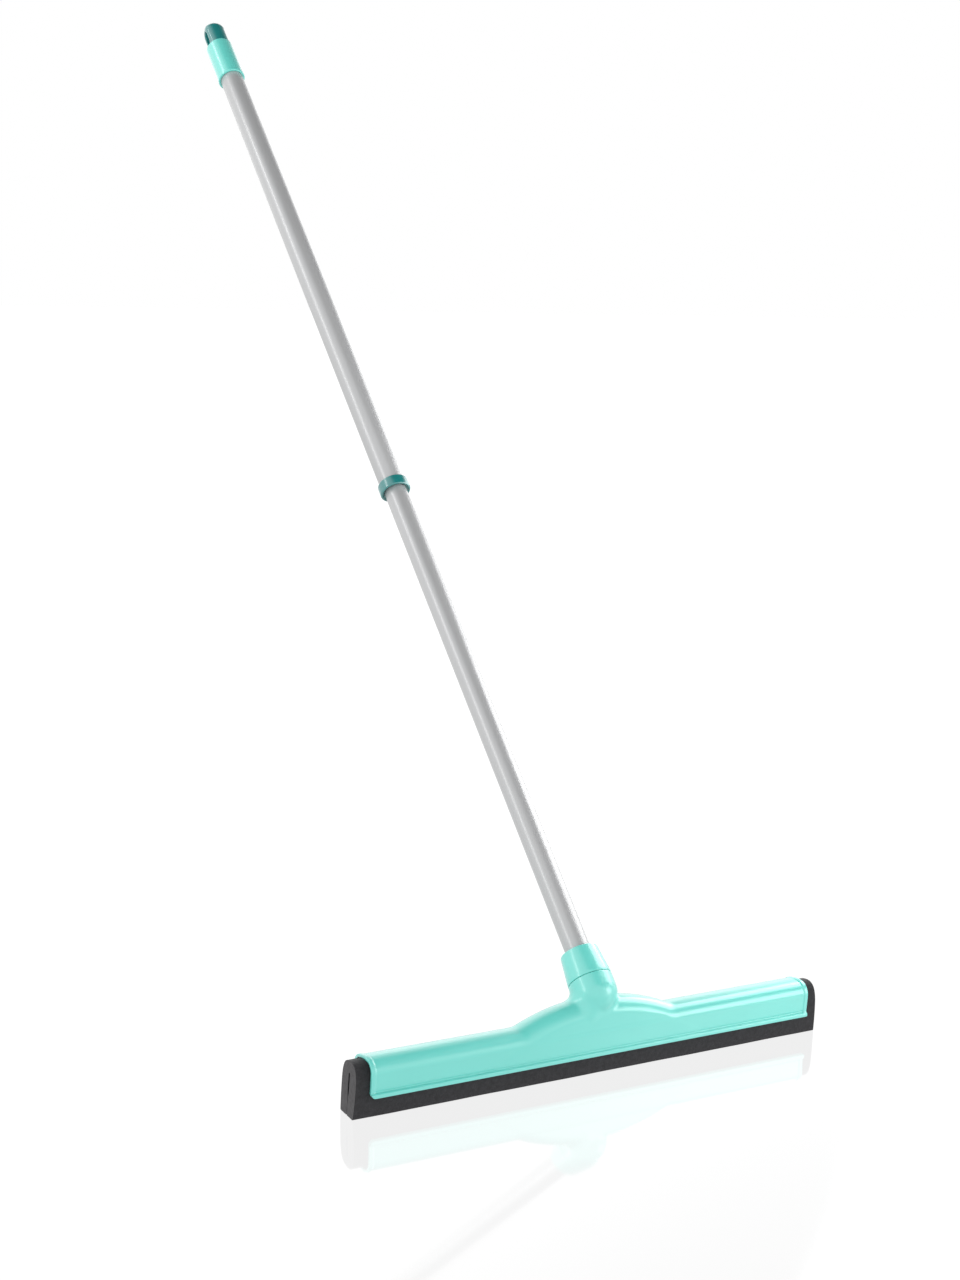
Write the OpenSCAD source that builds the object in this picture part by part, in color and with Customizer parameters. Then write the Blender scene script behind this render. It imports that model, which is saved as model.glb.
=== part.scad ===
// Floor squeegee with a folded foam blade and a telescopic twist-lock pole.
// Origin: on the floor, in the middle of the line that the two foam lips make.
// +X runs along the blade, +Y is the way the pole leans, +Z is up. Millimetres.

/* [Foam blade] */
// Length of the foam blade
blade_len = 450; // [350:10:600]
// Height of the foam blade above the floor
foam_h = 44.5; // [40:0.5:44.5]
// Half thickness of the foam at the floor
foam_base_half = 11.3; // [10:0.1:12]
// Largest half thickness of the foam
foam_mid_half = 12.6; // [12:0.1:12.7]
// Height at which the foam is thickest
foam_mid_z = 25; // [20:1:27]
// Squareness of the fold, 2 for an ellipse
fold_power = 2.8; // [2:0.1:3]
// Gap between the two lips at the floor
lip_gap = 0.4; // [0.2:0.1:0.5]
// Width of the pocket between the lips, higher up
pocket_w = 2.2; // [1.6:0.1:3]
// Bottom of the pocket
pocket_z = 14; // [10:1:18]
// Top of the pocket
pocket_top = 34; // [30:1:36]

/* [Head] */
// Length of the moulded head
head_len = 424; // [330:2:440]
// Height of the head's top face
head_top = 47.5; // [47:0.5:52]
// Half width of the head at its shoulders
head_half = 16.4; // [16:0.1:18]
// Half width of the head just above its foot
wall_foot_half = 15.5; // [15.3:0.1:16]
// Radius of the rounded shoulders
shoulder_r = 8.5; // [7:0.5:9]
// Thickness of the moulded walls
wall = 2.5; // [1.8:0.1:2.6]
// Half width of the bead along the foot
bead_half = 18; // [17:0.1:19]
// Underside of the bead
bead_z = 17.2; // [14:0.1:19]
// Height of the bead
bead_h = 4.2; // [3:0.1:6]
// Radius of the bead's lower end corners
corner_r = 4; // [2:0.5:6]

/* [Hump and neck] */
// Rise of the hump over the head's top face
hump_rise = 16; // [15:0.5:17]
// Half length of the hump
hump_half = 73; // [70:1:78]
// Radius of the neck
neck_r = 19.2; // [18.5:0.1:19.6]
// Radius of the threaded socket
socket_r = 11.4; // [11.3:0.1:11.8]

/* [Pole] */
// Lean of the pole from upright, in degrees
lean = 47.5; // [44:0.5:50]
// Height at which the pole's axis crosses over the lips
pole_z = 67; // [67:0.5:69]
// Radius of the lower tube
lower_r = 11; // [10.9:0.05:11]
// Radius of the upper tube
upper_r = 12.5; // [12.5:0.05:12.6]
// Wall thickness of both tubes
tube_wall = 0.5; // [0.4:0.05:0.55]
// Length of the lower tube
lower_len = 627; // [560:1:627]
// Length of the upper tube
upper_len = 641; // [641:1:700]
// Place of the collar's underside along the pole
collar_at = 538.5; // [520:0.5:545]

/* [Pole fittings] */
// Length of the adapter's tapered sleeve
adapter_len = 26.5; // [24:0.5:34]
// Radius of the adapter's sleeve at its top
adapter_top_r = 16.4; // [15:0.1:18]
// Height of the collar
collar_h = 11; // [9:0.5:16]
// Radius of the collar
collar_r = 15; // [14:0.1:16]
// Length of the guide inside the collar
guide_len = 32; // [20:1:34]
// Length of the grip sleeve
grip_len = 53; // [40:1:90]
// Radius of the grip sleeve
grip_r = 14.4; // [14:0.1:16]
// Length of the hanger cap above the grip
cap_len = 32.5; // [31:0.5:45]
// Radius of the hanger cap
cap_r = 13.4; // [13:0.1:14]
// Width of the hanging eyelet
eyelet_w = 13; // [10:0.5:14]
// Length of the hanging eyelet
eyelet_len = 24; // [20:1:25]
// Turn of the eyelet about the pole, in degrees
eyelet_turn = 15; // [0:1:20]

/* [Twist lock] */
// Length of the lock ring
ring_len = 21.4; // [16:0.1:24]
// Radius of the core's stub, which the ring runs on
stub_r = 6; // [5:0.5:6.5]
// How far the stub stands off the pole's axis
stub_off = 0.3; // [0.1:0.05:0.3]
// Play between the ring and the stub, on the radius
ring_play = 0.6; // [0.5:0.05:0.8]
// Gap between the ring and the upper tube's bore
ring_gap = 0.3; // [0.25:0.05:0.4]

/* [Hidden] */
$fn = 96;

mint = [0.55, 0.90, 0.84];
teal = [0.05, 0.53, 0.49];
grey = [0.68, 0.70, 0.71];
foam_black = [0.16, 0.16, 0.18];
core_white = [0.90, 0.90, 0.88];

cut = 1;            // how far a cutting solid runs past the face it cuts
gap = 0.3;          // clearance between two bodies
arc_steps = 14;     // straight steps in a quarter of a drawn curve
far = 200;          // larger than the head is wide or high

// The channel is open below: its cut starts under the bead.
channel_z = bead_z - cut;
hump_inset = 0.3;   // how far the hump's sides stand in from the head's
// Wheel whose rim makes the hump, and half the angle drawn of it, down into the head.
hump_r = (hump_half * hump_half + hump_rise * hump_rise) / (2 * hump_rise);
hump_depth = 9;     // degrees drawn past the place where the rim meets the head's top face
hump_angle = asin(hump_half / hump_r) + hump_depth;
hump_top = head_top + hump_rise;

// Places along the pole, measured up its axis from where it crosses over the lips.
seam_at = 11;
socket_end = -10;
socket_floor = 3;
boss_wall = 2.8;
sleeve_floor = 2;
lower_at = seam_at + sleeve_floor;
lower_top = lower_at + lower_len;
core_flange = 2;
ring_at = lower_top + core_flange + gap;
retainer_at = ring_at + ring_len + gap;
retainer_h = 3;
collar_floor = 2.5;
upper_at = collar_at + collar_floor;
upper_top = upper_at + upper_len;
grip_above = 2;     // how far the grip sleeve stands above the upper tube
grip_at = upper_top + grip_above - grip_len;
cap_at = upper_top + grip_above;
spigot_len = 20;
pin_r = 3.5;        // pin on the core, which holds the retainer

// Puts children drawn upright at the origin onto the pole, dist up its axis.
module on_pole(dist) {
    translate([0, 0, pole_z]) rotate([-lean, 0, 0]) translate([0, 0, dist]) children();
}

// A tube with its lower end at the origin.
module tube(outer_r, inner_r, len) {
    difference() {
        cylinder(r = outer_r, h = len);
        translate([0, 0, -cut]) cylinder(r = inner_r, h = len + 2 * cut);
    }
}

// A closed outline from its right half, listed from the bottom to the top.
function both_sides(half) =
    concat(half, [for (i = [len(half) - 1 : -1 : 0]) [-half[i][0], half[i][1]]]);

// Extrudes a YZ outline along X, centred on the origin.
module along_x(len) {
    translate([-len / 2, 0, 0]) rotate([90, 0, 90]) linear_extrude(len) children();
}

// The head's section, inset by t: leaning walls under rounded shoulders.
module head_outline(t, low) {
    r = shoulder_r - t;
    centre_y = head_half - shoulder_r;
    centre_z = head_top - shoulder_r;
    polygon(both_sides([[wall_foot_half - t, low], [head_half - t, centre_z]]));
    translate([-centre_y, centre_z - cut]) square([2 * centre_y, r + cut]);
    for (side = [-1, 1]) translate([side * centre_y, centre_z]) circle(r);
}

// The beads along the feet of the walls, with bevelled outer edges.
module bead_outline() {
    bevel = 1.2;
    top = bead_z + bead_h;
    polygon(both_sides([[bead_half - bevel, bead_z], [bead_half, bead_z + bevel],
                        [bead_half, top - bevel], [bead_half - bevel, top]]));
}

// Section of the hump's rim, inset by t, for turning about the Y axis.
module hump_section(t) {
    half = head_half - hump_inset - t;
    r = shoulder_r - t;
    outer = hump_r - t;
    depth = 2 * hump_rise;
    translate([outer - depth, -half]) square([depth - r, 2 * half]);
    translate([outer - r - cut, -half + r]) square([r + cut, 2 * (half - r)]);
    for (side = [-1, 1]) translate([outer - r, side * (half - r)]) circle(r);
}

// The hump, inset by t: a slice of a wheel whose rim rises from the head's top face.
module hump(t) {
    low = head_top - shoulder_r;
    intersection() {
        translate([0, 0, hump_top - hump_r]) rotate([-90, 0, 0])
            rotate([0, 0, -90 - hump_angle]) rotate_extrude(angle = 2 * hump_angle, $fn = 240)
                hump_section(t);
        translate([-far, -far, low]) cube([2 * far, 2 * far, far]);
    }
}

// The neck: a round elbow in the hump, then the pole's lean up to the seam.
module neck() {
    swell = 0.2;
    elbow_r = neck_r + swell;
    on_pole(0) cylinder(r = neck_r, h = seam_at);
    on_pole(0) intersection() {
        sphere(elbow_r);
        translate([-far, -far, -far]) cube([2 * far, 2 * far, far + seam_at - cut]);
    }
}

// The whole outer form of the head.
module head_outer() {
    intersection() {
        union() {
            along_x(head_len) head_outline(0, bead_z);
            along_x(head_len) bead_outline();
        }
        // The lower end corners are rounded when seen from the front.
        rotate([90, 0, 0]) linear_extrude(far, center = true)
            head_front_outline();
    }
    hump(0);
    neck();
}

// Front view of the head: a long bar with rounded lower corners.
module head_front_outline() {
    half = head_len / 2;
    translate([-half, bead_z + corner_r]) square([head_len, far]);
    translate([-half + corner_r, bead_z]) square([head_len - 2 * corner_r, 2 * corner_r]);
    for (side = [-1, 1]) translate([side * (half - corner_r), bead_z + corner_r]) circle(corner_r);
}

// Moulded head: a long inverted channel with a hump, a bent neck and a socket.
module head_body() {
    color(mint) difference() {
        union() {
            difference() {
                head_outer();
                along_x(head_len + 2 * cut) head_outline(wall, channel_z);
                hump(wall);
            }
            intersection() {
                on_pole(socket_end - socket_floor)
                    cylinder(r = socket_r + boss_wall, h = seam_at - socket_end);
                union() {
                    neck();
                    hump(0);
                }
            }
        }
        on_pole(socket_end) cylinder(r = socket_r, h = far);
    }
}

// Half thickness of the foam at height z.
function foam_half(z) =
    z < foam_mid_z
    ? foam_base_half + (foam_mid_half - foam_base_half) * sin(90 * z / foam_mid_z)
    : foam_mid_half * pow(1 - pow((z - foam_mid_z) / (foam_h - foam_mid_z), fold_power), 1 / fold_power);

// Folded foam strip: two lips hang from a round fold, with a pocket between them.
module foam_blade() {
    lower = [for (i = [0 : 6]) i * foam_mid_z / 6];
    upper = [for (i = [1 : arc_steps]) foam_mid_z + (foam_h - foam_mid_z) * sin(90 * i / arc_steps)];
    side = [for (z = concat(lower, upper)) [foam_half(z), z]];
    color(foam_black) difference() {
        along_x(blade_len) polygon(both_sides(side));
        along_x(blade_len + 2 * cut) {
            translate([-lip_gap / 2, -cut]) square([lip_gap, pocket_z + 2 * cut]);
            translate([-pocket_w / 2, pocket_z]) square([pocket_w, pocket_top - pocket_z]);
            translate([0, pocket_top]) circle(d = pocket_w);
        }
    }
}

// Flat strip in the fold, which spreads the foam against the channel's walls.
module foam_spine() {
    thick = pocket_w - 0.2;
    end_gap = 6;
    low = pocket_z + 2;
    color(core_white) translate([-head_len / 2 + end_gap, -thick / 2, low])
        cube([head_len - 2 * end_gap, thick, pocket_top - low - 1]);
}

// Adapter on the pole's lower end: threaded stub, tapered sleeve and inner spigot.
module pole_adapter() {
    stub_len = seam_at - socket_end - gap;
    thread_core = socket_r - 1.6;
    ridge_r = socket_r - 0.2;
    ridge_h = 1.2;
    ridge_pitch = 5;
    first_ridge = seam_at - stub_len + 2;
    ridges = 3;
    spigot = 26;
    color(mint) {
        difference() {
            on_pole(seam_at) cylinder(r1 = neck_r, r2 = adapter_top_r, h = adapter_len);
            on_pole(lower_at) cylinder(r = lower_r, h = far);
        }
        on_pole(lower_at - cut) cylinder(r = lower_r - tube_wall, h = spigot + cut);
        on_pole(seam_at - stub_len) cylinder(r = thread_core, h = stub_len + cut);
        for (i = [0 : ridges - 1]) on_pole(first_ridge + i * ridge_pitch) {
            cylinder(r1 = thread_core, r2 = ridge_r, h = ridge_h);
            translate([0, 0, ridge_h]) cylinder(r1 = ridge_r, r2 = thread_core, h = ridge_h);
        }
    }
}

// Lower tube, fixed in the adapter.
module lower_tube() {
    color(grey) on_pole(lower_at) tube(lower_r, lower_r - tube_wall, lower_len);
}

// Plug in the top of the lower tube, with an off-centre stub for the lock ring.
module lock_core() {
    plug_len = 24;
    color(core_white) {
        on_pole(lower_top - plug_len) cylinder(r = lower_r - tube_wall, h = plug_len + cut);
        on_pole(lower_top) cylinder(r = lower_r, h = core_flange);
        on_pole(lower_top) translate([stub_off, 0, 0])
            cylinder(r = stub_r, h = retainer_at - lower_top);
        on_pole(lower_top) cylinder(r = pin_r, h = retainer_at + retainer_h - lower_top);
    }
}

// Split ring on the stub: turning it wedges it against the upper tube's bore.
module lock_ring() {
    slot = 2.4;
    outer = upper_r - tube_wall - ring_gap;
    color(core_white) on_pole(ring_at) difference() {
        cylinder(r = outer, h = ring_len);
        translate([stub_off, 0, -cut]) cylinder(r = stub_r + ring_play, h = ring_len + 2 * cut);
        translate([0, -slot / 2, -cut]) cube([far, slot, ring_len + 2 * cut]);
    }
}

// Disc pressed on the core's pin, which keeps the ring on its stub.
module lock_retainer() {
    rim = 0.5;
    color(core_white) on_pole(retainer_at) tube(lower_r - rim, pin_r, retainer_h);
}

// Upper tube, which slides and turns on the lower one.
module upper_tube() {
    color(grey) on_pole(upper_at) tube(upper_r, upper_r - tube_wall, upper_len);
}

// Collar on the upper tube's mouth: hollowed underneath, with a thin guide inside for the lower tube.
module collar() {
    bevel = 0.8;
    edge_r = collar_r - bevel;
    guide_play = 0.35;
    mouth_wall = 0.7;
    mouth_depth = 1.6;
    mouth_r = edge_r - mouth_wall;
    color(teal) on_pole(collar_at) difference() {
        union() {
            difference() {
                union() {
                    cylinder(r1 = edge_r, r2 = collar_r, h = bevel);
                    translate([0, 0, bevel]) cylinder(r = collar_r, h = collar_h - 3 * bevel);
                    translate([0, 0, collar_h - 2 * bevel])
                        cylinder(r1 = collar_r, r2 = edge_r, h = 2 * bevel);
                }
                translate([0, 0, collar_floor]) cylinder(r = upper_r, h = collar_h);
            }
            cylinder(r = upper_r - tube_wall, h = collar_floor + guide_len);
        }
        translate([0, 0, -cut]) cylinder(r = lower_r + guide_play, h = far);
        translate([0, 0, -cut])
            cylinder(r1 = mouth_r + cut, r2 = mouth_r - mouth_depth, h = mouth_depth + cut);
    }
}

// Sleeve over the top of the upper tube, with a slim lip at its lower end.
module grip_sleeve() {
    lip_h = 3;
    lip_proud = 0.4;
    color(mint) on_pole(grip_at) difference() {
        union() {
            cylinder(r = grip_r + lip_proud, h = lip_h);
            cylinder(r = grip_r, h = grip_len);
        }
        translate([0, 0, -cut]) cylinder(r = upper_r, h = grip_len + 2 * cut);
    }
}

// Profile of the hanger cap's dome, for turning about the pole's axis.
module cap_profile() {
    edge_r = 9;
    square([cap_r, cap_len - edge_r]);
    square([cap_r - edge_r, cap_len]);
    translate([cap_r - edge_r, cap_len - edge_r]) intersection() {
        circle(edge_r);
        square(edge_r);
    }
}

// Cap in the top of the pole, flattened at one mouth of the eyelet it hangs by.
module hanger_cap() {
    flat_at = 10.2;
    eyelet_low = 2;
    r = eyelet_w / 2;
    color(teal) on_pole(cap_at) rotate([0, 0, -eyelet_turn]) {
        difference() {
            intersection() {
                rotate_extrude() cap_profile();
                translate([-flat_at, -far / 2, -cut]) cube(far);
            }
            rotate([90, 0, 90]) linear_extrude(far, center = true) {
                for (z = [eyelet_low + r, eyelet_low + eyelet_len - r]) translate([0, z]) circle(r);
                translate([-r, eyelet_low + r]) square([eyelet_w, eyelet_len - eyelet_w]);
            }
        }
        translate([0, 0, -grip_above]) cylinder(r = upper_r, h = grip_above);
        translate([0, 0, -grip_above - spigot_len])
            cylinder(r = upper_r - tube_wall, h = spigot_len + grip_above);
    }
}

head_body();
foam_blade();
foam_spine();
pole_adapter();
lower_tube();
lock_core();
lock_ring();
lock_retainer();
upper_tube();
collar();
grip_sleeve();
hanger_cap();
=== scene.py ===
"""Floor squeegee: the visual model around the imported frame. Sizes are in millimetres until a mesh is made."""
from math import cos, pi, radians, sin

import bpy
import numpy as np
from mathutils import Matrix, Vector


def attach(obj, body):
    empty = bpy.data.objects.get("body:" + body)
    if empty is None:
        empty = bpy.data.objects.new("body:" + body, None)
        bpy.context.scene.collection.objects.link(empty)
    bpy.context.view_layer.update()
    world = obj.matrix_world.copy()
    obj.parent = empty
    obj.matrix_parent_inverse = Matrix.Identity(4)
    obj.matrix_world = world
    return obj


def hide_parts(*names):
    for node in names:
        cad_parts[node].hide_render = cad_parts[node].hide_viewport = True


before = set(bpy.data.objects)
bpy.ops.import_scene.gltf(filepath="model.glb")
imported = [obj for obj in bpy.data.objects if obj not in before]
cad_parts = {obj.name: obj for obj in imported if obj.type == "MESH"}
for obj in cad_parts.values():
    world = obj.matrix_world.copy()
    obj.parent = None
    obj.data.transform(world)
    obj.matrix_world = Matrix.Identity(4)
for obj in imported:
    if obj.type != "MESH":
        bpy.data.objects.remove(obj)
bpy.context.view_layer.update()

MM = 0.001
# Directions of the dark ceiling over the object's right, and of the brightest backdrop.
DARK_CEILING = (0.45, 0.1, 0.88)
BRIGHT_BACK = (0.5, 0.84, 0.2)

LOWER, UPPER = "head_and_lower_pole", "upper_pole"

# Head, in the row frame.
HEAD_END = 212
HEAD_TOP = 47.5
HEAD_HALF = 16.4
WALL_FOOT_HALF = 15.5
SHOULDER_R = 8.5
WALL = 2.5
BEAD_HALF, BEAD_LOW, BEAD_HIGH = 18, 17.2, 21.4
HUMP_RISE, HUMP_HALF = 16, 73
# The hump's shoulder is ROLL_W wide and falls ROLL_H over that width.
ROLL_W, ROLL_H = 11, 7
ROLL_R = (ROLL_W**2 + ROLL_H**2) / (2 * ROLL_H)
NECK_R = 19.2

# Pole: places along it are measured up its axis from where it crosses over the lips.
LEAN = radians(47.5)
POLE_Z = 67
SEAM = 11
SLEEVE_TOP = 37.5
LOWER_TOP = 640
COLLAR, COLLAR_TOP = 538.5, 549.5
UPPER_LOW, UPPER_TOP = 541, 1182
GRIP, CAP, CAP_TOP = 1131, 1184, 1216.5
LOWER_R, UPPER_R, TUBE_WALL = 11, 12.5, 0.5
SLEEVE_R, COLLAR_R = 16.4, 15
GRIP_R, GRIP_LIP_R = 14.5, 14.8
# Small plays keep mating skins from lying in one another.
FIT, GUIDE_PLAY = 0.03, 0.35
COLLAR_FOOT, COLLAR_DEPTH = 2.5, 34.5
EYELET_TURN = radians(15)

# Foam blade.
BLADE_END = 225
FOAM_H = 44.5
FOLD_POWER = 2.8
FOAM_BASE_HALF, FOAM_MID_HALF, FOAM_MID_Z = 11.3, 12.6, 25


# ---------- meshes ----------

def add_piece(name, verts, faces, material, normals=None, smooth=True):
    """A mesh object from points in millimetres."""
    mesh = bpy.data.meshes.new(name)
    mesh.from_pydata(np.asarray(verts) * MM, [], faces)
    mesh.validate()
    mesh.update()
    mesh.shade_smooth() if smooth else mesh.shade_flat()
    if normals is not None:
        mesh.normals_split_custom_set_from_vertices(normals)
    mesh.materials.append(material)
    obj = bpy.data.objects.new(name, mesh)
    bpy.context.scene.collection.objects.link(obj)
    return obj


def pole_frame(turn=0.0):
    """Unit vectors across, across and along the pole."""
    along = np.array([0, sin(LEAN), cos(LEAN)])
    across = np.array([1.0, 0, 0])
    third = np.cross(along, across)
    u = cos(turn) * across - sin(turn) * third
    v = sin(turn) * across + cos(turn) * third
    return u, v, along


def on_pole(points, start=0.0, turn=0.0):
    """Points given across, across and along the pole, in the row frame."""
    u, v, along = pole_frame(turn)
    p = np.asarray(points, float)
    return p[:, :1] * u + p[:, 1:2] * v + (p[:, 2:] + start) * along + np.array([0, 0, POLE_Z])


def rounded(corners, steps=6):
    """A closed outline whose corners, given as (a, b, radius), are rounded with arcs."""
    points = []
    for i, (a, b, r) in enumerate(corners):
        here = np.array([a, b], float)
        before = np.array(corners[i - 1][:2], float) - here
        after = np.array(corners[(i + 1) % len(corners)][:2], float) - here
        lb, la = np.linalg.norm(before), np.linalg.norm(after)
        if r <= 0:
            points.append(tuple(here))
            continue
        before, after = before / lb, after / la
        half = np.arccos(np.clip(before @ after, -1, 1)) / 2
        reach = min(r / np.tan(half), 0.49 * lb, 0.49 * la)
        middle = before + after
        centre = here + middle / np.linalg.norm(middle) * reach / cos(half)
        first, last = here + before * reach - centre, here + after * reach - centre
        sweep = np.arccos(np.clip(first @ last / (first @ first), -1, 1))
        for k in range(steps + 1):
            t = k / steps
            w0, w1 = sin((1 - t) * sweep) / sin(sweep), sin(t * sweep) / sin(sweep)
            points.append(tuple(centre + w0 * first + w1 * last))
    return points


def lathe(name, corners, material, segments=128, steps=6):
    """A ring about the pole's axis, from its closed outline of (radius, place, corner radius)."""
    outline = rounded(corners, steps)
    count = len(outline)
    points = []
    for k in range(segments):
        a = 2 * pi * k / segments
        points += [(r * cos(a), r * sin(a), s) for r, s in outline]
    faces = []
    for k in range(segments):
        near, far = k * count, (k + 1) % segments * count
        for i in range(count):
            j = (i + 1) % count
            faces.append((near + i, far + i, far + j, near + j))
    obj = add_piece(name, on_pole(points), faces, material)
    sharpen(obj, 40)
    return obj


def sharpen(obj, degrees):
    """Smooth shading, but for edges that bend more than this."""
    mesh = obj.data
    mesh.calc_loop_triangles()
    limit = cos(radians(degrees))
    normals = {}
    for poly in mesh.polygons:
        for key in poly.edge_keys:
            normals.setdefault(key, []).append(poly.normal)
    sharp = [len(n) == 2 and n[0].dot(n[1]) < limit for n in (normals[tuple(sorted(e.vertices))] for e in mesh.edges)]
    attribute = mesh.attributes.get("sharp_edge") or mesh.attributes.new("sharp_edge", "BOOLEAN", "EDGE")
    attribute.data.foreach_set("value", sharp)


def surface_net(field, xs, ys, zs):
    """(points, quads) of the surface where field is 0, on a grid, each point then moved onto the surface."""
    grid = np.meshgrid(xs, ys, zs, indexing="ij")
    values = field(*grid)
    inside = values < 0
    shape = tuple(n - 1 for n in values.shape)
    corner = [(i, j, k) for i in (0, 1) for j in (0, 1) for k in (0, 1)]

    def at(array, c):
        return array[c[0] : c[0] + shape[0], c[1] : c[1] + shape[1], c[2] : c[2] + shape[2]]

    count = sum(at(inside, c).astype(np.int8) for c in corner)
    crossed = (count > 0) & (count < 8)
    cells = np.argwhere(crossed)
    number = np.full(shape, -1)
    number[crossed] = np.arange(len(cells))
    axes = (xs, ys, zs)
    total = np.zeros((len(cells), 3))
    hits = np.zeros(len(cells))
    for a in corner:
        for axis in range(3):
            if a[axis]:
                continue
            b = tuple(c + (n == axis) for n, c in enumerate(a))
            fa, fb = values[tuple((cells + a).T)], values[tuple((cells + b).T)]
            cross = (fa < 0) != (fb < 0)
            t = np.where(cross, fa / np.where(cross, fa - fb, 1), 0)
            pa = np.stack([axes[n][cells[:, n] + a[n]] for n in range(3)], 1)
            pb = np.stack([axes[n][cells[:, n] + b[n]] for n in range(3)], 1)
            total += np.where(cross[:, None], pa + (pb - pa) * t[:, None], 0)
            hits += cross
    points = total / hits[:, None]
    for _ in range(4):
        slope = gradient(field, points)
        size = np.maximum((slope**2).sum(1), 0.2)
        points -= np.clip(field(*points.T) / size, -0.5, 0.5)[:, None] * slope
    quads = []
    for axis in range(3):
        others = [n for n in range(3) if n != axis]
        low = [slice(None)] * 3
        high = [slice(None)] * 3
        low[axis], high[axis] = slice(0, -1), slice(1, None)
        change = inside[tuple(low)] != inside[tuple(high)]
        edges = np.argwhere(change)
        edges = edges[(edges[:, others[0]] > 0) & (edges[:, others[1]] > 0)]
        starts = inside[tuple(edges.T)]
        around = []
        for d0, d1 in ((1, 1), (0, 1), (0, 0), (1, 0)):
            cell = edges.copy()
            cell[:, others[0]] -= d0
            cell[:, others[1]] -= d1
            around.append(number[tuple(cell.T)])
        quad = np.stack(around, 1)
        flip = starts == (axis == 1)
        quad[flip] = quad[flip][:, ::-1]
        quads.append(quad)
    return points, np.concatenate(quads)


def gradient(field, points, step=0.02):
    """The field's slope at each point."""
    x, y, z = points.T
    return np.stack([
        field(x + step, y, z) - field(x - step, y, z),
        field(x, y + step, z) - field(x, y - step, z),
        field(x, y, z + step) - field(x, y, z - step),
    ], 1) / (2 * step)


def both(a, b, r):
    """Where both fields are inside, with the edge between them rounded to radius r."""
    u, v = np.maximum(a + r, 0), np.maximum(b + r, 0)
    return np.minimum(-r, np.maximum(a, b)) + np.sqrt(u * u + v * v)


def either(a, b, k):
    """Where either field is inside, with the crease between them filled over about k."""
    h = np.maximum(k - np.abs(a - b), 0) / k
    return np.minimum(a, b) - h * h * k / 4


def ease(t):
    """0 to 1 and level at both ends."""
    t = np.clip(t, 0, 1)
    return t * t * (3 - 2 * t)


# ---------- materials ----------

def new_material(name, color, roughness, **inputs):
    """A principled material, its node tree, its shader, and a position socket in metres."""
    material = bpy.data.materials.new(name)
    material.use_nodes = True
    tree = material.node_tree
    shader = tree.nodes["Principled BSDF"]
    shader.inputs["Base Color"].default_value = (*color, 1)
    shader.inputs["Roughness"].default_value = roughness
    for key, value in inputs.items():
        shader.inputs[key.replace("_", " ")].default_value = value
    place = tree.nodes.new("ShaderNodeTexCoord").outputs["Object"]
    return material, tree, shader, place


def noise(tree, place, scale, detail=2.0, stretch=(1, 1, 1)):
    """A noise value from 0 to 1 over the object."""
    mapping = tree.nodes.new("ShaderNodeMapping")
    mapping.inputs["Scale"].default_value = stretch
    tree.links.new(place, mapping.inputs["Vector"])
    node = tree.nodes.new("ShaderNodeTexNoise")
    node.inputs["Scale"].default_value = scale
    node.inputs["Detail"].default_value = detail
    tree.links.new(mapping.outputs["Vector"], node.inputs["Vector"])
    return node.outputs["Fac"]


def ramp(tree, value, low, high, start=0.3, end=0.7):
    """A colour that goes from low to high as value goes from start to end."""
    node = tree.nodes.new("ShaderNodeValToRGB")
    node.color_ramp.elements[0].position = start
    node.color_ramp.elements[1].position = end
    node.color_ramp.elements[0].color = (*low, 1)
    node.color_ramp.elements[1].color = (*high, 1)
    tree.links.new(value, node.inputs["Fac"])
    return node.outputs["Color"]


def mixed(tree, factor, a, b):
    """Colour a where factor is 0 and b where it is 1."""
    node = tree.nodes.new("ShaderNodeMix")
    node.data_type = "RGBA"
    tree.links.new(factor, node.inputs["Factor"])
    for socket, color in ((node.inputs["A"], a), (node.inputs["B"], b)):
        if isinstance(color, tuple):
            socket.default_value = (*color, 1)
        else:
            tree.links.new(color, socket)
    return node.outputs["Result"]


def spread(tree, value, low, high):
    """A number from low to high as value goes from 0.3 to 0.7."""
    node = tree.nodes.new("ShaderNodeMapRange")
    node.inputs["From Min"].default_value = 0.3
    node.inputs["From Max"].default_value = 0.7
    node.inputs["To Min"].default_value = low
    node.inputs["To Max"].default_value = high
    tree.links.new(value, node.inputs["Value"])
    return node.outputs["Result"]


def bump(tree, shader, height, strength, distance):
    """Relief on the shader from a height value. A second call adds to the first."""
    node = tree.nodes.new("ShaderNodeBump")
    node.inputs["Strength"].default_value = strength
    node.inputs["Distance"].default_value = distance
    tree.links.new(height, node.inputs["Height"])
    socket = shader.inputs["Normal"]
    if socket.links:
        tree.links.new(socket.links[0].from_socket, node.inputs["Normal"])
    tree.links.new(node.outputs["Normal"], socket)


def shade(color, by):
    return tuple(c * by for c in color)


def moulded_plastic(name, color, roughness):
    """Moulded plastic: a faint mottle in colour and gloss, and a fine eroded skin."""
    material, tree, shader, place = new_material(name, color, roughness, IOR=1.49)
    shader.inputs["Specular IOR Level"].default_value = 0.9
    shader.inputs["Coat Weight"].default_value = 1.0
    shader.inputs["Coat Roughness"].default_value = 0.22
    shader.inputs["Coat IOR"].default_value = 1.6
    cloud = noise(tree, place, 9, 3)
    tree.links.new(ramp(tree, cloud, shade(color, 0.965), shade(color, 1.03)), shader.inputs["Base Color"])
    smear = noise(tree, place, 60, 4, stretch=(0.4, 1, 1))
    tree.links.new(spread(tree, smear, roughness - 0.05, roughness + 0.06), shader.inputs["Roughness"])
    bump(tree, shader, noise(tree, place, 1400, 3), 0.04, 0.00004)
    bump(tree, shader, noise(tree, place, 45, 2), 0.04, 0.0006)
    return material


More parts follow.
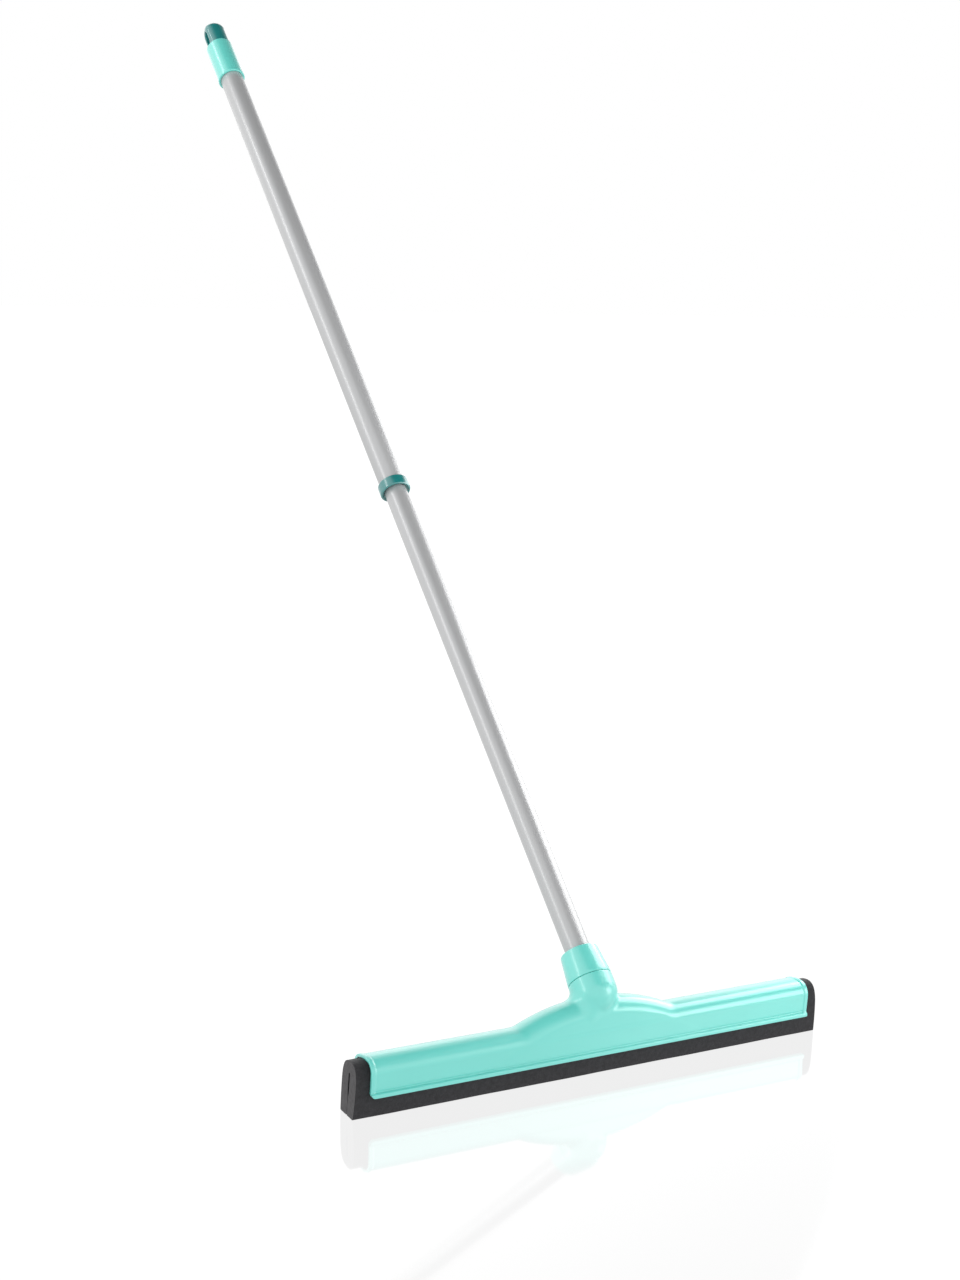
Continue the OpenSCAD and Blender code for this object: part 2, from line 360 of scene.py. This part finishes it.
def tube_paint():
    """Silver-grey coating on steel tube: fine flake, drawn lines along the tube and a clear skin."""
    color = (0.50, 0.505, 0.51)
    material, tree, shader, place = new_material("tube_paint", color, 0.34, Metallic=0.25, IOR=1.5)
    shader.inputs["Coat Weight"].default_value = 0.35
    shader.inputs["Coat Roughness"].default_value = 0.26
    flake = noise(tree, place, 2600, 2)
    tree.links.new(ramp(tree, flake, shade(color, 0.95), shade(color, 1.05)), shader.inputs["Base Color"])
    turned = tree.nodes.new("ShaderNodeMapping")
    turned.inputs["Rotation"].default_value = (LEAN, 0, 0)
    tree.links.new(place, turned.inputs["Vector"])
    drawn = noise(tree, turned.outputs["Vector"], 900, 3, stretch=(1, 1, 0.01))
    tree.links.new(spread(tree, drawn, 0.30, 0.38), shader.inputs["Roughness"])
    bump(tree, shader, drawn, 0.03, 0.00004)
    bump(tree, shader, noise(tree, place, 1800, 2), 0.03, 0.00003)
    return material


def foam_rubber():
    """Charcoal foam rubber: fine open cells all over, and paler cut ends."""
    skin, cut_end = (0.018, 0.0175, 0.020), (0.046, 0.044, 0.047)
    material, tree, shader, place = new_material("foam_rubber", skin, 0.82, IOR=1.45)
    shader.inputs["Sheen Weight"].default_value = 0.15
    shader.inputs["Sheen Roughness"].default_value = 0.5
    cells = tree.nodes.new("ShaderNodeTexVoronoi")
    cells.inputs["Scale"].default_value = 950
    tree.links.new(place, cells.inputs["Vector"])
    pores = ramp(tree, cells.outputs["Distance"], (0.45,) * 3, (1.25,) * 3, 0.05, 0.6)
    cloud = noise(tree, place, 260, 4)
    side = ramp(tree, cloud, shade(skin, 0.72), shade(skin, 1.4))
    facing = tree.nodes.new("ShaderNodeNewGeometry")
    split = tree.nodes.new("ShaderNodeSeparateXYZ")
    tree.links.new(facing.outputs["True Normal"], split.inputs["Vector"])
    size = tree.nodes.new("ShaderNodeMath")
    size.operation = "ABSOLUTE"
    tree.links.new(split.outputs["X"], size.inputs[0])
    end = ramp(tree, size.outputs["Value"], (0, 0, 0), (1, 1, 1), 0.55, 0.85)
    color = mixed(tree, end, side, ramp(tree, cloud, shade(cut_end, 0.75), shade(cut_end, 1.25)))
    tint = tree.nodes.new("ShaderNodeMix")
    tint.data_type = "RGBA"
    tint.blend_type = "MULTIPLY"
    tint.inputs["Factor"].default_value = 0.55
    tree.links.new(color, tint.inputs["A"])
    tree.links.new(pores, tint.inputs["B"])
    tree.links.new(tint.outputs["Result"], shader.inputs["Base Color"])
    bump(tree, shader, cells.outputs["Distance"], 0.45, 0.0003)
    bump(tree, shader, cloud, 0.35, 0.0006)
    return material


MINT = moulded_plastic("mint_plastic", (0.15, 0.72, 0.64), 0.36)
TEAL = moulded_plastic("teal_plastic", (0.002, 0.215, 0.21), 0.30)
NYLON = moulded_plastic("inner_plastic", (0.74, 0.74, 0.70), 0.5)
TUBE = tube_paint()
FOAM = foam_rubber()


# ---------- head ----------

def wall_field(y, z, inset=0.0):
    """The head's leaning walls."""
    slope = (HEAD_HALF - WALL_FOOT_HALF) / (HEAD_TOP - SHOULDER_R - BEAD_LOW)
    half = WALL_FOOT_HALF + slope * np.minimum(z - BEAD_LOW, HEAD_TOP - SHOULDER_R - BEAD_LOW)
    return np.abs(y) - half + inset


def crown(y):
    """How far the head's top has fallen at y: it is level near the front and falls to the back."""
    level_y, bend, slope = -3.5, 8.0, 0.3
    return slope * bend * np.log(np.cosh((y - level_y) / bend))


def head_field(x, y, z):
    """Signed distance to the moulded head, in millimetres."""
    rim_w, rim_proud, rim_step = 3.8, 0.55, 1.6
    rim = rim_proud * ease((np.abs(x) - (HEAD_END - rim_w)) / rim_step + 0.5)
    groove = 0.35 * np.exp(-(((z - BEAD_HIGH - 1.0) / 0.8) ** 2)) * (np.abs(x) < HEAD_END - rim_w)
    fall = crown(y)
    bar_top = z - HEAD_TOP + 0.3 + fall
    hump_r = (HUMP_HALF**2 + HUMP_RISE**2) / (2 * HUMP_RISE)
    hump_top = np.hypot(x, z + fall - (HEAD_TOP + HUMP_RISE - hump_r)) - hump_r
    walls = wall_field(y, z) + groove - rim
    bar = both(walls, bar_top - rim, SHOULDER_R)
    # The hump's shoulder runs smoothly off its top and meets the wall in a crease.
    hump_roll = np.hypot(np.maximum(walls + ROLL_W, 0), np.maximum(hump_top, -ROLL_R) + ROLL_R) - ROLL_R
    shell = either(bar, both(hump_roll, walls, 0.8), 1.5)
    shell = both(shell, BEAD_LOW - z, 0.5)
    bead_mid, bead_half_h = (BEAD_LOW + BEAD_HIGH) / 2, (BEAD_HIGH - BEAD_LOW) / 2
    bead = both(np.abs(y) - BEAD_HALF, np.abs(z - bead_mid) - bead_half_h, 1.5)
    shell = either(shell, bead, 0.8)
    # The lower corner is rounder at the -X end.
    corner_r = np.where(x < 0, 4.5, 1.3)
    end = both(np.abs(x) - HEAD_END, BEAD_LOW - z, corner_r)
    shell = both(shell, end, 0.7)
    # The neck runs smoothly into the hump on its left, and more sharply on its right.
    shell = either(shell, neck_field(x, y, z), 4.0 + 6.0 * ease(-x / 14))
    inner = both(wall_field(y, z, WALL), bar_top + WALL - 0.3, SHOULDER_R - WALL)
    return both(shell, -inner, 0.5)


def neck_field(x, y, z):
    """Signed distance to the neck: a round elbow, then the pole's lean up to the seam."""
    s = y * sin(LEAN) + (z - POLE_Z) * cos(LEAN)
    across = y * cos(LEAN) - (z - POLE_Z) * sin(LEAN)
    stem = np.where(s > 0, np.hypot(x, across), np.sqrt(x * x + y * y + (z - POLE_Z) ** 2))
    return both(stem - NECK_R, s - SEAM + 0.1, 0.6)


def stations(*runs):
    """Grid places from runs of (start, end, step)."""
    out = []
    for start, end, step in runs:
        out += list(np.linspace(start, end, round((end - start) / step) + 1)[:-1])
    return np.array(out + [runs[-1][1]])


def head():
    end, rim, mid = HEAD_END + 2.4, HEAD_END - 6, 96
    xs = stations((-end, -rim, 0.6), (-rim, -mid, 3.0), (-mid, mid, 1.0), (mid, rim, 3.0), (rim, end, 0.6))
    ys = stations((-20.4, -12.4, 0.62), (-12.4, 12.4, 1.05), (12.4, 23.6, 0.7))
    zs = stations((15.6, 25, 0.6), (25, 40, 1.1), (40, 86, 0.95), (86, 90, 1.0))
    points, quads = surface_net(head_field, xs, ys, zs)
    normals = gradient(head_field, points)
    normals /= np.linalg.norm(normals, axis=1)[:, None]
    obj = add_piece("head_shell", points, quads.tolist(), MINT, normals)
    finish_piece(obj, LOWER, "mint_plastic", "head_body")


def finish_piece(obj, body, slot, *nodes):
    """Puts a finished piece on its body and in place of its CAD nodes."""
    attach(obj, body)
    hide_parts(*nodes)


# ---------- foam ----------

def foam_half(z):
    """Half thickness of the foam at height z."""
    if z < FOAM_MID_Z:
        return FOAM_BASE_HALF + (FOAM_MID_HALF - FOAM_BASE_HALF) * sin(pi / 2 * z / FOAM_MID_Z)
    rise = (z - FOAM_MID_Z) / (FOAM_H - FOAM_MID_Z)
    return FOAM_MID_HALF * max(0.0, 1 - rise**FOLD_POWER) ** (1 / FOLD_POWER)


def foam_outline():
    """Half of the folded section, from inside the slit, round the lip and up to the top."""
    lip_r, slit, pocket, pocket_low, pocket_top = 0.9, 0.25, 1.15, 13, 34
    points = [(0, pocket_top + pocket)]
    points += [(pocket * sin(a), pocket_top + pocket * cos(a)) for a in np.linspace(0.3, pi / 2, 5)]
    points += [(slit + (pocket - slit) * ease((z - pocket_low) / 8), z) for z in np.linspace(30, 3, 12)]
    points += [(slit + lip_r * (1 - cos(a)), lip_r * (1 - sin(a))) for a in np.linspace(0, pi / 2, 5)]
    base = FOAM_BASE_HALF
    points += [(y, 0) for y in np.linspace(slit + 2.2, base - 2.2, 5)]
    points += [(base - lip_r * (1 - sin(a)), lip_r * (1 - cos(a))) for a in np.linspace(0, pi / 2, 5)]
    points += [(foam_half(z), z) for z in np.linspace(2, FOAM_MID_Z, 10)]
    rise = FOAM_H - FOAM_MID_Z
    points += [(foam_half(FOAM_MID_Z + rise * sin(a)), FOAM_MID_Z + rise * sin(a))
               for a in np.linspace(0.1, pi / 2 - 0.05, 16)]
    return points + [(0, FOAM_H)]


def foam():
    half = foam_outline()
    loop = half + [(-y, z) for y, z in half[-2:0:-1]]
    count, spans = len(loop), 90
    points = []
    for i in range(spans + 1):
        t = 2 * i / spans - 1
        for y, z in loop:
            x = t * (BLADE_END - 2.0 * z / FOAM_H)
            # The lips wander a little where the head doesn't hold them.
            loose = max(0.0, 1 - z / 16)
            wave = loose * (0.16 * sin(x / 23) + 0.1 * sin(x / 9.1 + 1))
            # The channel presses the fold down to the back.
            pressed = min(z, HEAD_TOP - 0.3 - float(crown(y)) - WALL)
            points.append((x, y + wave, pressed))
    faces = []
    for i in range(spans):
        near, far = i * count, (i + 1) * count
        for k in range(count):
            j = (k + 1) % count
            faces.append((near + k, near + j, far + j, far + k))
    faces.append(tuple(range(count)))
    faces.append(tuple(spans * count + k for k in range(count))[::-1])
    obj = add_piece("foam_strip", points, faces, FOAM)
    sharpen(obj, 50)
    finish_piece(obj, LOWER, "foam_rubber", "foam_blade")


# ---------- pole ----------

def pole_fittings():
    bore = LOWER_R + 0.02
    obj = lathe("adapter_sleeve", [
        (bore, SEAM + 2, 0), (NECK_R - 4, SEAM + 0.1, 0), (NECK_R + 0.05, SEAM + 0.1, 0.6),
        (NECK_R - 0.1, SEAM + 3, 2), (SLEEVE_R, SLEEVE_TOP, 1.3), (bore, SLEEVE_TOP, 0.5),
    ], MINT)
    finish_piece(obj, LOWER, "mint_plastic", "pole_adapter")

    obj = lathe("lower_tube_skin", [
        (LOWER_R - TUBE_WALL, SEAM + 3, 0), (LOWER_R, SEAM + 3, 0),
        (LOWER_R, LOWER_TOP, 0.2), (LOWER_R - TUBE_WALL, LOWER_TOP, 0.2),
    ], TUBE, steps=2)
    finish_piece(obj, LOWER, "tube_paint", "lower_tube")

    obj = lathe("upper_tube_skin", [
        (UPPER_R - TUBE_WALL, UPPER_LOW, 0.2), (UPPER_R, UPPER_LOW, 0.2),
        (UPPER_R, UPPER_TOP, 0.2), (UPPER_R - TUBE_WALL, UPPER_TOP, 0.2),
    ], TUBE, steps=2)
    finish_piece(obj, UPPER, "tube_paint", "upper_tube")

    guide, bore, spigot = LOWER_R + GUIDE_PLAY, UPPER_R + FIT, UPPER_R - TUBE_WALL - FIT
    obj = lathe("collar_ring", [
        (guide, COLLAR + 1.7, 0.2), (12.0, COLLAR + 1.7, 0.3), (13.6, COLLAR, 0.25),
        (14.3, COLLAR, 0.3), (COLLAR_R, COLLAR + 0.9, 0.8), (COLLAR_R, COLLAR_TOP, 1.6),
        (bore, COLLAR_TOP, 0.4), (bore, COLLAR + COLLAR_FOOT, 0),
        (spigot, COLLAR + COLLAR_FOOT, 0), (spigot, COLLAR + COLLAR_DEPTH, 0),
        (guide, COLLAR + COLLAR_DEPTH, 0),
    ], TEAL)
    finish_piece(obj, UPPER, "teal_plastic", "collar")

    obj = lathe("grip_skin", [
        (bore, GRIP, 0.4), (GRIP_LIP_R, GRIP, 0.8), (14.85, GRIP + 3, 0.5), (14.35, GRIP + 3.6, 0.5),
        (GRIP_R, CAP - 0.1, 0.7), (bore, CAP - 0.1, 0),
    ], MINT)
    finish_piece(obj, UPPER, "mint_plastic", "grip_sleeve")


def cap_field(u, v, w):
    """Signed distance to the hanger cap, in the pole's own directions, from the top of the grip."""
    length, radius, flat, eyelet_r, eyelet_low, eyelet_high = CAP_TOP - CAP, 13.4, 10.2, 6.5, 2, 26
    around = np.hypot(u, v)
    dome = both(around - radius, w - length, 9.0)
    dome = both(dome, -u - flat, 3.0)
    dome = both(dome, -w, 0.5)
    middle = np.clip(w, eyelet_low + eyelet_r, eyelet_high - eyelet_r)
    eyelet = np.hypot(v, w - middle) - eyelet_r
    dome = both(dome, -eyelet, 1.8)
    plug = both(around - (UPPER_R - TUBE_WALL - 0.05), np.abs(w + 9) - 11, 0.5)
    return np.minimum(dome, plug)


def cap():
    across = stations((-14.6, 14.6, 0.62))
    up = stations((-21.5, -1, 1.7), (-1, 35, 0.62))
    points, quads = surface_net(cap_field, across, across, up)
    normals = gradient(cap_field, points)
    u, v, along = pole_frame(EYELET_TURN)
    normals = normals[:, :1] * u + normals[:, 1:2] * v + normals[:, 2:] * along
    normals /= np.linalg.norm(normals, axis=1)[:, None]
    obj = add_piece("hanger_cap_skin", on_pole(points, CAP, EYELET_TURN), quads.tolist(), TEAL, normals)
    finish_piece(obj, UPPER, "teal_plastic", "hanger_cap")


# ---------- camera, light and floor ----------

def camera():
    place = Vector((-863.1, -1326.2, 691.2)) * MM
    azimuth, elevation, roll = radians(29.18), radians(11.79), radians(-2.33)
    forward = Vector((sin(azimuth) * cos(elevation), cos(azimuth) * cos(elevation), -sin(elevation)))
    right = Vector((cos(azimuth), -sin(azimuth), 0))
    down = forward.cross(right)
    image_right = cos(roll) * right + sin(roll) * down
    image_down = cos(roll) * down - sin(roll) * right
    data = bpy.data.cameras.new("camera")
    data.lens = 56.64
    data.clip_end = 100
    obj = bpy.data.objects.new("camera", data)
    turn = Matrix((image_right, -image_down, -forward)).transposed()
    obj.matrix_world = Matrix.Translation(place) @ turn.to_4x4()
    bpy.context.scene.collection.objects.link(obj)
    bpy.context.scene.camera = obj


def area_light(name, place, target, size, power, color=(1, 1, 1)):
    data = bpy.data.lights.new(name, "AREA")
    data.shape = "RECTANGLE"
    data.size, data.size_y = size
    data.energy = power
    data.color = color
    obj = bpy.data.objects.new(name, data)
    obj.location = place
    obj.rotation_euler = (Vector(target) - Vector(place)).to_track_quat("-Z", "Y").to_euler()
    bpy.context.scene.collection.objects.link(obj)
    return obj


def cone(tree, place, direction, wide, narrow, outside, inside):
    """A number that goes from outside to inside between two angles, in degrees, from a direction."""
    facing = tree.nodes.new("ShaderNodeVectorMath")
    facing.operation = "DOT_PRODUCT"
    facing.inputs[1].default_value = Vector(direction).normalized()
    tree.links.new(place, facing.inputs[0])
    level = tree.nodes.new("ShaderNodeMapRange")
    level.interpolation_type = "SMOOTHSTEP"
    level.inputs["From Min"].default_value = cos(radians(wide))
    level.inputs["From Max"].default_value = cos(radians(narrow))
    level.inputs["To Min"].default_value = outside
    level.inputs["To Max"].default_value = inside
    tree.links.new(facing.outputs["Value"], level.inputs["Value"])
    return level.outputs["Result"]


def studio():
    """A white backdrop, a dark ceiling over the right of the object, and five soft lights."""
    world = bpy.data.worlds.new("studio")
    world.use_nodes = True
    bpy.context.scene.world = world
    tree = world.node_tree
    background = tree.nodes["Background"]
    place = tree.nodes.new("ShaderNodeTexCoord").outputs["Generated"]
    glow = cone(tree, place, DARK_CEILING, 58, 36, 1.08, 0.06)
    back = cone(tree, place, BRIGHT_BACK, 48, 20, 0.0, 0.4)
    total = tree.nodes.new("ShaderNodeMath")
    tree.links.new(glow, total.inputs[0])
    tree.links.new(back, total.inputs[1])
    direct = tree.nodes.new("ShaderNodeLightPath").outputs["Is Camera Ray"]
    pick = tree.nodes.new("ShaderNodeMix")
    tree.links.new(direct, pick.inputs["Factor"])
    tree.links.new(total.outputs["Value"], pick.inputs["A"])
    pick.inputs["B"].default_value = 1.0
    tree.links.new(pick.outputs["Result"], background.inputs["Strength"])
    background.inputs["Color"].default_value = (1, 1, 1, 1)

    middle = Vector((0, 0.42, 0.45))
    strip = area_light("left_strip", middle + 1.6 * Vector((-0.86, 0.18, 0.47)), middle, (0.17, 2.6), 6.5)
    strip.rotation_euler = strip_turn(strip.location, middle)
    area_light("right_back", (1.5, 0.9, 0.95), (0, 0, 0.1), (0.7, 0.7), 3)
    area_light("right_near", (0.68, 0.14, 0.56), (0, 0, 0.08), (0.6, 0.6), 4)
    area_light("right_front", (0.75, -0.7, 0.35), (0.1, 0, 0.03), (0.5, 0.5), 2.4)
    area_light("top_line", (0.75, -0.3, 1.3), (0.1, 0, 0.05), (1.2, 0.03), 0.7)


def strip_turn(place, target):
    """Turns a light to face its target with its long side along the pole."""
    back = (place - target).normalized()
    along = Vector((0, sin(LEAN), cos(LEAN)))
    across = along.cross(back).normalized()
    return Matrix((across, back.cross(across), back)).transposed().to_euler()


def floor():
    """A white floor with a faint mirror image, as polished board has."""
    size, low = 12, -0.0002
    mesh = bpy.data.meshes.new("floor")
    mesh.from_pydata([(-size, -size, low), (size, -size, low), (size, size, low), (-size, size, low)], [],
                     [(0, 1, 2, 3)])
    material = bpy.data.materials.new("floor")
    material.use_nodes = True
    tree = material.node_tree
    tree.nodes.clear()
    glow = tree.nodes.new("ShaderNodeEmission")
    glow.inputs["Color"].default_value = (1, 1, 1, 1)
    direct = tree.nodes.new("ShaderNodeLightPath").outputs["Is Camera Ray"]
    strength = tree.nodes.new("ShaderNodeMapRange")
    strength.inputs["To Min"].default_value = 0.85
    strength.inputs["To Max"].default_value = 1.05
    tree.links.new(direct, strength.inputs["Value"])
    tree.links.new(strength.outputs["Result"], glow.inputs["Strength"])
    mirror = tree.nodes.new("ShaderNodeBsdfGlossy")
    mirror.inputs["Roughness"].default_value = 0.06
    mirror.inputs["Color"].default_value = (1, 1, 1, 1)
    mix = tree.nodes.new("ShaderNodeMixShader")
    mix.inputs["Fac"].default_value = 0.19
    tree.links.new(glow.outputs["Emission"], mix.inputs[1])
    tree.links.new(mirror.outputs["BSDF"], mix.inputs[2])
    out = tree.nodes.new("ShaderNodeOutputMaterial")
    tree.links.new(mix.outputs["Shader"], out.inputs["Surface"])
    mesh.materials.append(material)
    obj = bpy.data.objects.new("floor", mesh)
    bpy.context.scene.collection.objects.link(obj)


def inner_pieces():
    """The spine and the lock stay as the CAD made them, in plain nylon."""
    for node in ("foam_spine", "lock_core", "lock_ring", "lock_retainer"):
        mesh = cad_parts[node].data
        mesh.materials.clear()
        mesh.materials.append(NYLON)


bpy.context.scene.view_settings.view_transform = "Standard"
head()
foam()
pole_fittings()
cap()
inner_pieces()
camera()
studio()
floor()
